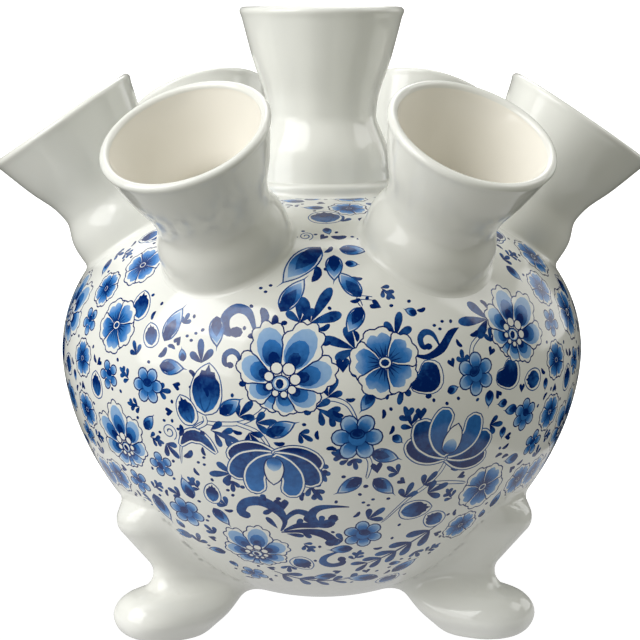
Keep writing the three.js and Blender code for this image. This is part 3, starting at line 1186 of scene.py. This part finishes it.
def edged(brush, edge, inside=BARE):
    """A shape in a thin dark edge."""
    brush.fill(edge, INK)
    brush.fill(inset(edge, LINE), inside)


def haloed(brush, shape, start, end, line, reaches=(0.85, 0.5)):
    """A shape in a thin edge that keeps off it."""
    for reach, tone in zip(reaches, (FULL, BARE)):
        brush.fill(inset(shape, -reach), tone)
    brush.fill(shape, start, end, line)


def dab(brush, size):
    """A small round dab."""
    brush.fill(oval(0, 0, size, 0.8 * size, 8), INK)


def three_dabs(brush, size):
    for x, y in ((-1, 0.1), (0.1, -0.7), (0.9, 0.8)):
        dab(brush.at(x * size, y * size), 0.42 * size)


def finger(brush, length, width):
    """A dark stroke that grows from its root to a round end."""
    side = [(0, 0), (0.3, 0.3), (0.5, 0.7), (0.3, 0.94), (0, 1)]
    brush.fill(mirrored(side, 2, width, length), INK, FULL, midline(0, length))


def sprig(brush, length):
    """Three fingers from one root."""
    for turn, share in ((50, 0.68), (-44, 0.74), (3, 1.0)):
        finger(brush.at(0, 0, turn), length * share, 0.22 * length + 0.6)


def fern(brush, length):
    """A finger with shorter ones on both sides."""
    plan = ((0.02, 58, 0.5), (0.16, -50, 0.52), (0.34, 46, 0.5), (0.5, -40, 0.4), (0, 2, 1))
    for root, turn, share in plan:
        finger(brush.at(0, root * length, turn), length * share, 0.13 * length + 0.7)


def heart(brush, size):
    side = [(0, -1), (0.6, -0.2), (0.85, 0.4), (0.42, 0.78), (0, 0.38)]
    brush.fill(mirrored(side, 2, size, size), INK)


def comma(brush, length):
    """A bent dab that ends in a point."""
    line = curve([(0, 0), (0.16 * length, 0.5 * length), (0, length)], 4)
    brush.fill(stroke(line, (0.15, 0.34 * length, 0.44 * length, 0.38 * length, 0.16 * length)), INK)


def scroll(brush, size):
    """A thick hook that curls round to a bulb."""
    line = curve([
        (1.25, -1.15), (0.95, -0.15), (0.5, 0.62), (-0.2, 0.8), (-0.74, 0.3), (-0.66, -0.42),
        (-0.2, -0.74)], 4)
    shape = stroke(line, (0.08, 0.26, 0.5, 0.62, 0.6, 0.55, 0.5), size)
    brush.fill(shape, INK, FULL, [(-0.2 * size, -size), (0, 0.6 * size)])
    dab(brush.at(-0.02 * size, -0.56 * size), 0.4 * size)


def spiral(brush, size):
    """A thin line that winds inwards, with dabs outside."""
    line = arc(0, 0, 1, -60, 560, 31) * np.linspace(size, 0.16 * size, 32)[:, None]
    brush.fill(stroke(line, (0.3, 0.34, 0.5)), FULL)
    for turn in (20, 110, 190):
        dab(brush.at(*arc(0, 0, 1.3 * size, turn, turn, 0)[0]), 0.6)


def leaf(brush, length):
    """A pointed leaf in a thin edge, dark at its root and pale towards its tip."""
    width = 0.38 * length + 1.2
    brush.fill(almond(length, width), FULL)
    brush.fill(almond(length - 2.6 * LINE, width - 2 * LINE) + [0, 1.1 * LINE], 0.3 * WASH)
    wash = mirrored([(0, 0), (0.36, 0.3), (0.36, 0.6), (0, 0.86)], 3, width, length)
    brush.fill(wash, FULL, 0.8 * WASH, midline(0.35 * length, 0.85 * length))
    brush.fill(almond(0.66 * length, 0.62 * width), INK, FULL, midline(0.3 * length, 0.66 * length))
    brush.fill(stroke([(0, length - LINE), (0.03 * length, 1.12 * length)], (0.4, 0.15)), FULL)


def bud(brush, length, width):
    """A dark closed bud in a thin offset edge, with a ragged top."""
    side = [(0, 0), (0.3, 0.12), (0.5, 0.4), (0.46, 0.66), (0.3, 0.76), (0.24, 0.88), (0.1, 0.88), (0, 1.04)]
    brush.fill(inset(egg(length, width), -0.85), FULL)
    brush.fill(inset(egg(length, width), -0.5), BARE)
    brush.fill(mirrored(side, 2, width, length), HALF, INK, midline(0.05 * length, 0.6 * length))
    for flip in (1, -1):
        rib = [(0, 0), (flip * 0.16 * width, 0.2 * length), (flip * 0.22 * width, 0.5 * length)]
        brush.fill(stroke(curve(rib, 3), (0.3, 0.5, 0.15)), FULL)


def bean(brush, size):
    """A dark bent fruit in a thin offset edge."""
    edge = [(-0.9, -0.6), (0.3, -0.85), (0.95, -0.3), (0.75, 0.8), (-0.1, 1.0), (-0.5, 0.35), (-0.95, 0.1)]
    edge = curve(edge, 3, True) * size
    brush.fill(inset(edge, -0.7) + [0.4, 0], FULL)
    brush.fill(inset(edge, -0.4) + [0.4, 0], BARE)
    brush.fill(edge, INK, FULL, midline(0.4 * size, 1.2 * size))
    brush.claim(size)


def petal_edge(length, width, scallops):
    """A broad petal from its root at the origin, with a scalloped outer edge."""
    steps = 4 * scallops + 1
    turn = np.radians(np.linspace(-20, 200, steps))
    swell = 0.92 + 0.18 * np.abs(np.sin(np.linspace(0, scallops * math.pi, steps)))
    outer = np.stack([0.5 * width * swell * np.cos(turn), length * (0.6 + 0.37 * swell * np.sin(turn))], -1)
    root = [(-0.25 * width, 0.24 * length), (0, 0.04 * length), (0.25 * width, 0.24 * length)]
    return np.concatenate([outer, root])


def peony(brush, radius):
    """A big flower with its middle below the centre, so that its upper petals are the longest."""
    x, y = -0.1 * radius, -0.36 * radius
    middle = brush.at(x, y)
    petals = []
    for turn in range(20, 380, 45):
        lean = math.radians(turn)
        along = y * math.cos(lean) - x * math.sin(lean)
        petals.append((turn, math.sqrt(along ** 2 + radius ** 2 - x ** 2 - y ** 2) - along))
    for turn, reach in sorted(petals, key=lambda pair: pair[1]):
        petal = middle.at(0, 0, turn)
        width = 0.36 * reach + 0.32 * radius
        edged(petal, petal_edge(reach, width, 5 if reach > radius else 4))
        petal.fill(
            oval(0, 0.56 * reach, 0.36 * width, 0.32 * reach, 14), 0.8 * WASH, 1.3 * WASH,
            midline(0.85 * reach, 0.4 * reach))
        petal.fill(
            oval(0, 0.47 * reach, 0.27 * width, 0.22 * reach), 0.9 * HALF, FULL,
            midline(0.68 * reach, 0.4 * reach))
        petal.fill(oval(0, 0.38 * reach, 0.15 * width, 0.12 * reach, 8), INK)
    for turn, reach in petals:
        bead = 0.04 * radius + 0.075 * reach
        edged(middle.at(0, 0, turn), oval(0, 0.13 * radius + 0.14 * reach, bead, bead))
    edged(middle, oval(0, 0, 0.19 * radius, 0.17 * radius), WASH)
    middle.fill(oval(0, 0, 0.13 * radius, 0.11 * radius), BARE)
    middle.fill(oval(-0.02 * radius, -0.01 * radius, 0.08 * radius, 0.1 * radius, 8), INK)
    brush.claim(radius)


def rosette(brush, radius):
    """A flower of five broad petals with dark rays round a ring."""
    blotch = mirrored([(0, 0.1), (0.22, 0.3), (0.36, 0.58), (0.16, 0.8), (0, 0.72)], 2, radius, radius)
    ray = stroke([(0, 0.15 * radius), (0, 0.3 * radius), (0, 0.5 * radius)], (0.6, 0.2))
    for k in range(5):
        petal = brush.at(0, 0, 72 * k + 14)
        edged(petal, petal_edge(radius, 1.02 * radius, 4))
        petal.fill(blotch, FULL, WASH, midline(0.25 * radius, 0.8 * radius))
        for lean in (-18, 0, 18):
            petal.at(0, 0, lean).fill(ray, INK)
    edged(brush, oval(0, 0, 0.2 * radius, 0.18 * radius))
    dab(brush, 0.12 * radius)
    brush.claim(radius)


def daisy(brush, radius, petals=6):
    """A small flower of round pale petals with a dark core above its middle."""
    for k in range(petals):
        petal = brush.at(0, 0, 360 / petals * (k + 0.5))
        edged(petal, oval(0, 0.62 * radius, 0.36 * radius, 0.38 * radius), 0.8 * WASH)
        petal.fill(
            oval(0, 0.54 * radius, 0.24 * radius, 0.3 * radius), FULL, WASH,
            midline(0.3 * radius, 0.8 * radius))
    brush.fill(oval(0, 0, 0.34 * radius, 0.34 * radius), HALF)
    edged(brush, oval(0, 0.14 * radius, 0.3 * radius, 0.22 * radius), FULL)
    brush.fill(oval(0, 0.16 * radius, 0.2 * radius, 0.15 * radius), INK)
    brush.claim(radius)


# Curved petals of one side: line, widths, and the tones of its start and end
LOTUS_PETALS = (
    ([(0, 0), (0.35, -0.06), (0.66, 0.02), (0.88, 0.2)], (0.08, 0.22, 0.3, 0.3, 0.2), INK, INK),
    ([(0.02, 0.02), (0.38, 0.16), (0.64, 0.36), (0.72, 0.64)], (0.08, 0.3, 0.42, 0.42, 0.34), INK, FULL),
    ([(0.02, 0.05), (0.26, 0.28), (0.38, 0.58), (0.3, 0.92)], (0.08, 0.26, 0.36, 0.36, 0.3), FULL, HALF))


def lotus(brush, size):
    """A side view of an opening flower: dark wings, curved petals and a drop between them."""
    for flip in (1, -1):
        side = brush.at(0, 0, 0, size, flip)
        for points, widths, start, end in LOTUS_PETALS:
            shape = stroke(curve(points, 5), widths)
            haloed(side, shape, start, end, [points[0], points[-1]], (0.85 / size, 0.5 / size))
    edged(brush, egg(0.66 * size, 0.42 * size) + [0, 0.06 * size])
    drop = egg(0.3 * size, 0.3 * size) + [0, 0.09 * size]
    brush.fill(drop, FULL, 0.5 * WASH, midline(0.1 * size, 0.38 * size))
    brush.at(0, 0.4 * size).claim(0.62 * size)


ACANTHUS_STROKES = (  # line and widths
    ([(0, 0), (0.12, 0.32), (0.0, 0.66), (-0.34, 0.9), (-0.72, 0.82), (-0.84, 0.54), (-0.64, 0.42)],
     (0.04, 0.12, 0.26, 0.28, 0.24, 0.22, 0.3)),
    ([(0.08, 0.12), (0.18, 0.44), (0.42, 0.64), (0.66, 0.54), (0.6, 0.32)], (0.03, 0.1, 0.15, 0.18, 0.26)),
    ([(0.06, 0.02), (0.4, 0.2), (0.8, 0.24), (1.3, 0.42)], (0.04, 0.16, 0.2, 0.1)),
    ([(0, -0.04), (0.4, 0.02), (0.85, -0.04), (1.1, -0.3), (0.94, -0.46)], (0.04, 0.12, 0.26, 0.24, 0.24)))
ACANTHUS_LOBES = (  # root, turn and length
    (-0.06, 0.72, 125, 0.34), (-0.06, 0.08, 32, 0.42), (0.1, -0.08, -100, 0.4), (0.36, 0.18, -30, 0.28),
    (0.62, 0.24, -25, 0.3), (0.88, 0.28, -20, 0.26), (0.46, -0.02, -135, 0.26), (-0.24, 0.9, 20, 0.22))


def acanthus(brush, size):
    """Scrolling strokes and lobed leaves from one root."""
    for points, widths in ACANTHUS_STROKES:
        brush.fill(stroke(curve(points, 5), widths, size), INK, FULL, midline(0, size))
    for x, y, turn, share in ACANTHUS_LOBES:
        finger(brush.at(x * size, y * size, turn), share * size, 0.14 * size)
    brush.at(0.1 * size, 0.35 * size).claim(0.5 * size)


def frond(brush, places, length):
    """A stem through places of the sheet with thick leaflets on both sides."""
    line = curve([brush.local(*place) for place in places], 5)
    brush.fill(stroke(line, (0.4, 0.9, 0.3)), INK)
    for k in range(2, len(line) - 1, 3):
        along = line[k] - line[k - 1]
        turn = math.degrees(math.atan2(-along[0], along[1]))
        share = 1 - 0.4 * k / len(line)
        for side in (38, -38):
            finger(brush.at(*line[k], turn + side), length * share, 0.36 * length * share + 0.4)


def vine(sheet, places):
    """A stem of two thin lines through places of the sheet."""
    brush = Brush(sheet, *places[0])
    line = curve([brush.local(*place) for place in places], 5)
    brush.fill(stroke(line, (1.3, 1.5, 1.0)), FULL)
    brush.fill(stroke(line, (0.75, 0.95, 0.3)), BARE)


# Where the panel's motifs stand: angle from its middle in degrees and length up the skin, and after these,
# for all but the vines, turn from upright and size
VINES = (
    ((-11.5, 121), (-14, 116.5), (-18, 113.3), (-23, 112.5), (-27, 112), (-32, 106), (-33.5, 98.5)),
    ((-19, 113), (-14.5, 110.5), (-12, 105)), ((-1.5, 120), (0.5, 120.8), (3.5, 119), (5.5, 114)),
    ((7.5, 104), (8.5, 101), (8, 96)), ((26, 101.5), (25, 97), (22, 92), (18, 87.5), (13, 79)),
    ((23.5, 93), (28, 92.5), (33, 91.5)), ((30, 130), (31, 134), (35.5, 138)),
    ((9.5, 149), (6.5, 149.2), (7, 146.5)), ((-26, 114.5), (-26, 112.3), (-29, 110)))
PEONIES = ((-8.5, 130, -4, 14.2), (-50.5, 104.5, 30, 11), (44.5, 138.5, -24, 12), (-20.5, 68, 10, 10.5))
ROSETTES = (
    (11, 130.5, 0, 10.4), (-51, 137, 20, 8.6), (-52, 156.5, 5, 7.6), (39, 88.5, 30, 8.6), (11, 192, 0, 6.2))
DAISIES = (
    (5.5, 109.5, 0, 7.4), (31, 125.5, 30, 6.4), (9, 74.5, -20, 6), (-39.5, 121.5, 0, 5.6), (-37.5, 80, 40, 6),
    (46, 111, -30, 5.2))
LOTUSES = ((-11.5, 104.2, 175, 14.6), (25.5, 101.5, -14, 15))
BUDS = (
    (-25.8, 115.5, -6, 13.6, 8.6), (-29, 112, 22, 8, 5.2), (-39, 133, 20, 6, 4.4), (-44.5, 140, 12, 8, 5.6),
    (17.5, 83, -84, 9, 6), (-28, 86, -12, 6.4, 4), (-56.5, 115, 0, 7, 5), (0, 181, 4, 8, 8.5))
BEANS = ((19.5, 125.5, 0, 4.5), (39.5, 124, -10, 4.2))
LEAVES = (
    (-10.5, 145, -28, 10.7), (-24.5, 143, -170, 8), (-36, 134.5, -20, 9.6), (-36.5, 127.5, -90, 7.6),
    (-22.5, 115.5, -54, 7), (-13, 110, -65, 8.3), (7, 149.5, 33, 9), (7, 146.5, 149, 8),
    (8.5, 122.5, 148, 5.6), (34.5, 120.5, 180, 4.4), (8.5, 104.5, -105, 7.6), (7, 96.5, 128, 7.6),
    (9.5, 96, -131, 7.6), (27.5, 97, -61, 6), (-33.5, 86, 10, 7), (-28.5, 83.5, -154, 6.6),
    (-41, 68.5, 81, 6.2), (-46.5, 85, -174, 9.5), (24, 51.5, -36, 8), (7, 68, 95, 6), (20, 48.5, 82, 9),
    (3.5, 52.5, 108, 6.6), (-2, 168, 143, 15.5), (3, 167, -98, 7), (1.5, 164.5, 178, 8.6),
    (43, 113.5, 90, 4.6), (-12, 200, 86, 7), (12, 183.5, -126, 4.5))
SPRIGS = (
    (-4, 142, -30, 10.5), (-6.2, 142, 2, 6.5), (5, 134.5, 66, 8), (13.5, 137.5, -20, 6.6), (36, 140.5, 87, 9),
    (35.5, 134, -13, 3.6), (28, 129, 0, 3.4), (14.5, 124, 166, 4.8), (-0.5, 121.5, -31, 5),
    (35.5, 110, -97, 4.6), (-26.5, 129.5, 5, 6), (-18.5, 115, -45, 5.6), (-15, 113.5, -88, 5.4),
    (-36.5, 120.5, -90, 3.8), (-36.5, 104.5, -143, 5), (-16.5, 110.5, -150, 5.2), (-21.5, 97, 94, 6.2),
    (-21.5, 94.5, 168, 3.6),
    (-37, 86.5, 59, 4), (-24.5, 85, 42, 4.2), (5, 103, 190, 3.4), (4, 72, 75, 4.6), (9.5, 81, -50, 5.4),
    (23, 89.5, -70, 6), (17.5, 88.5, -20, 5), (21.5, 92.5, -42, 5), (-40, 66, -30, 4.6), (-31.5, 72, 29, 3.8),
    (25, 192.5, -44, 6), (6, 181.5, -4, 4), (-32, 140, -20, 3))
FERNS = (
    (-3, 118.5, -120, 8), (-25, 110.5, -112, 8), (17, 111.5, 22, 6.4), (-4.5, 94.5, -150, 6),
    (4, 102.5, 60, 5), (-30.5, 90, 35, 4.6), (-2.5, 101, -160, 5.4))
HEARTS = (
    (2.5, 130.3, 0, 2), (10, 147, 60, 1.6), (18.5, 115.8, 0, 1.8), (-11, 86.8, 0, 2.3), (10, 99.8, 10, 1.8))
COMMAS = (
    (-14, 137, 82, 3.6), (-37, 130, -40, 3.4), (-27.8, 125, 43, 2.6), (12, 123, 161, 2.6),
    (5.5, 136.5, 15, 2.8), (11, 137, -15, 2.8), (37, 143.5, 33, 2.8), (30.5, 136.5, -70, 2.9),
    (-12.5, 117.5, -64, 2.6), (-20, 111, -104, 2.6), (-11.5, 107.8, -90, 2.8), (0.5, 117.5, -116, 3),
    (3, 120.8, -90, 2.4),
    (-32.5, 107.5, -13, 3.4), (-32.5, 101, -53, 3.6), (1.5, 105.5, 80, 2.8), (-2.5, 140, -63, 3.2),
    (-2, 136.5, -90, 2.6), (-5.5, 91.5, 166, 2.8), (4.5, 148.3, -75, 2.6), (5.5, 156.2, -102, 2.6),
    (-4, 154.5, -13, 5), (1, 173, -90, 4), (-1, 165.5, -38, 3), (-14, 140.5, 10, 5), (-12.5, 139.5, -14, 4.2),
    (4, 127.8, -90, 2.6))
SCROLLS = (
    (-19.5, 141.5, 0, 5), (-20, 131, -10, 2.8), (20.5, 136, 0, 3), (-1, 82.5, 70, 4.6), (2, 62, 100, 4))
SPIRALS = ((-35, 108.5, 0, 2.7), (-6.5, 173, 0, 2.2))
DOTS = (
    (-9.5, 141.8, 0, 0.9), (-4.5, 117, 0, 1.1), (-17.5, 124.5, 0, 1.1), (-28.8, 122.5, 0, 0.6),
    (4.2, 114.5, 0, 0.8), (20, 120.6, 0, 1), (-26.8, 109.3, 0, 0.9), (-19.5, 92.5, 0, 0.8),
    (-16.5, 90.8, 0, 0.8), (-11.5, 89, 0, 0.8), (-1, 98.8, 0, 0.8), (3, 97, 0, 0.7), (8, 93.5, 0, 0.8),
    (-0.5, 159, 0, 0.9))
THREE_DOTS = (
    (-29.5, 136.5, 0, 1.4), (23.5, 140, 0, 1.4), (-28, 100, 20, 1.4), (9, 87.5, 0, 1.4), (9, 172.5, 0, 1.4),
    (-14.5, 152, 0, 1.4))
MOTIFS = (
    (fern, FERNS), (sprig, SPRIGS), (comma, COMMAS), (heart, HEARTS), (dab, DOTS), (three_dabs, THREE_DOTS),
    (scroll, SCROLLS), (spiral, SPIRALS), (leaf, LEAVES), (bud, BUDS), (bean, BEANS), (lotus, LOTUSES),
    (daisy, DAISIES), (rosette, ROSETTES), (peony, PEONIES))
BOLD = 1.14  # how much bigger the leaves and sprigs are drawn than their places say


def paint_panel(sheet):
    """The flowers, leaves and scrolls of one panel."""
    for places in VINES:
        vine(sheet, places)
    frond(Brush(sheet, 30, 76), ((30, 76), (24, 69), (18, 63), (12, 59)), 8)
    frond(Brush(sheet, -12, 56), ((-18, 54), (-10, 49.5), (0, 48), (10, 50)), 6.5)
    blade = curve([(0, 0), (3.2, 3), (7.5, 2.6), (11, -1.5)], 4)
    haloed(
        Brush(sheet, -32.5, 105), stroke(blade, (0.4, 2.6, 3.6, 2.4, 0.3)), INK, FULL, [blade[0], blade[-1]])
    plume = curve([(-4, 0.8), (0, 0), (4.5, 2), (8, 6), (11, 7.5)], 4)
    Brush(sheet, 20, 131.5).fill(stroke(plume, (0.4, 1.6, 2.6, 2.2, 0.2)), INK)
    for motif, places in MOTIFS:
        bold = BOLD if motif in (fern, sprig, comma, heart, leaf) else 1
        for azimuth, length, turn, *sizes in places:
            motif(Brush(sheet, azimuth, length, turn, bold), *sizes)
    acanthus(Brush(sheet, -12, 76), 13)


# What stays bare round a spout and a foot: angle from the panel's middle, length up the skin and radius
BARE_PATCHES = ((-30, 168, 24.5), (30, 168, 24.5), (-60, 57, 22), (60, 57, 22), (-60, 36, 15), (60, 36, 15))

# Room that a filler needs, how far below the spot its root is, the motif and its sizes
FILLERS = (
    (6.4, 0, rosette, 6.2), (4.4, 0, daisy, 4.5, 5), (3.7, 3.4, bud, 6.6, 5.2), (3.1, 3.1, leaf, 6.2),
    (2.6, 2.5, fern, 5.2), (2.2, 2.1, sprig, 4.4), (1.9, 1.9, leaf, 3.8), (1.4, 0, heart, 1.5),
    (1.2, 1.4, comma, 2.8), (0.6, 0, dab, 0.65))
FILLER_TRIES = 700
FILLED_LENGTHS = (46, 206)  # the band up the skin that is filled
POLE_ODDS = 0.2  # odds that a try counts where the skin is narrowest
ROOM_SHARE, SPARE_ROOM = 0.96, 0.25


def fill_gaps(sheet, pattern):
    """Fills what is left of the panel with small sprigs, leaves, hearts and dabs."""
    shaker = random.Random(pattern.seed)
    span = 360 / pattern.repeats
    width = sheet.girth / pattern.repeats
    patches = [(math.radians(azimuth) * sheet.unit, *rest) for azimuth, *rest in BARE_PATCHES]
    patches = np.array(patches + sheet.claims)
    for room, root, motif, *sizes in FILLERS:
        drawn = np.concatenate(sheet.outlines)
        drawn = np.concatenate([drawn + [shift, 0] for shift in (-width, 0, width)])
        placed = []
        for _ in range(FILLER_TRIES):
            azimuth, length = shaker.uniform(-span / 2, span / 2), shaker.uniform(*FILLED_LENGTHS)
            spot = np.array([math.radians(azimuth) * sheet.unit, length])
            narrow = [sheet.across(length) / sheet.unit, 1]
            if shaker.random() > narrow[0] + POLE_ODDS:
                continue
            off = (np.linalg.norm((patches[:, :2] - spot) * narrow, axis=1) - patches[:, 2]).min()
            near = np.linalg.norm((drawn - spot) * narrow, axis=1).min()
            beside = min((np.linalg.norm((other - spot) * narrow) for other in placed), default=math.inf)
            if min(off, near, beside / 2) > ROOM_SHARE * room + SPARE_ROOM:
                placed.append(spot)
                brush = Brush(sheet, azimuth, length, shaker.uniform(-180, 180))
                motif(brush.at(0, -root), *sizes)


def paint_pattern(sheet, pattern):
    """Paints the panel and takes it round the globe."""
    paint_panel(sheet)
    fill_gaps(sheet, pattern)
    sheet.repeat(pattern.repeats)


# Panel and start

class TulipVaseSettings(bpy.types.PropertyGroup):
    globe: PointerProperty(type=GlobeSettings, name="Globe", description="Sizes of the globe")
    spouts: PointerProperty(type=SpoutSettings, name="Spouts", description="Sizes of the spouts")
    foot: PointerProperty(type=FootSettings, name="Foot", description="Sizes of a foot")
    glaze: PointerProperty(type=GlazeSettings, name="Glaze", description="Colours of the glaze")
    pattern: PointerProperty(type=PatternSettings, name="Pattern", description="The painted pattern")
    stage: PointerProperty(type=StageSettings, name="Stage", description="Camera and floor")


class TULIPVASE_PT_panel(bpy.types.Panel):
    """Lists the vase's pieces"""
    bl_idname = "TULIPVASE_PT_panel"
    bl_label = "Tulip Vase"
    bl_space_type = "VIEW_3D"
    bl_region_type = "UI"
    bl_category = "Tulip Vase"

    def draw(self, context):
        for operator in OPERATORS:
            self.layout.operator(operator.bl_idname, text=operator.bl_label)


OPERATORS = (TULIPVASE_OT_globe, TULIPVASE_OT_spouts, TULIPVASE_OT_feet, TULIPVASE_OT_stage)
CLASSES = (
    GlobeSettings, SpoutSettings, FootSettings, GlazeSettings, PatternSettings, StageSettings,
    TulipVaseSettings, *OPERATORS, TULIPVASE_PT_panel)


def register():
    for item in CLASSES:
        bpy.utils.register_class(item)
    bpy.types.Scene.tulip_vase = PointerProperty(type=TulipVaseSettings)


def unregister():
    del bpy.types.Scene.tulip_vase
    for item in reversed(CLASSES):
        bpy.utils.unregister_class(item)


def main():
    register()
    bpy.ops.tulipvase.globe()
    bpy.ops.tulipvase.spouts()
    bpy.ops.tulipvase.feet()
    bpy.ops.tulipvase.stage()
    plain = lambda box: [[float(value) for value in corner] for corner in box]
    {"cad": plain(cad_box), "scene": plain(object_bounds())}


if __name__ == "__main__":
    main()
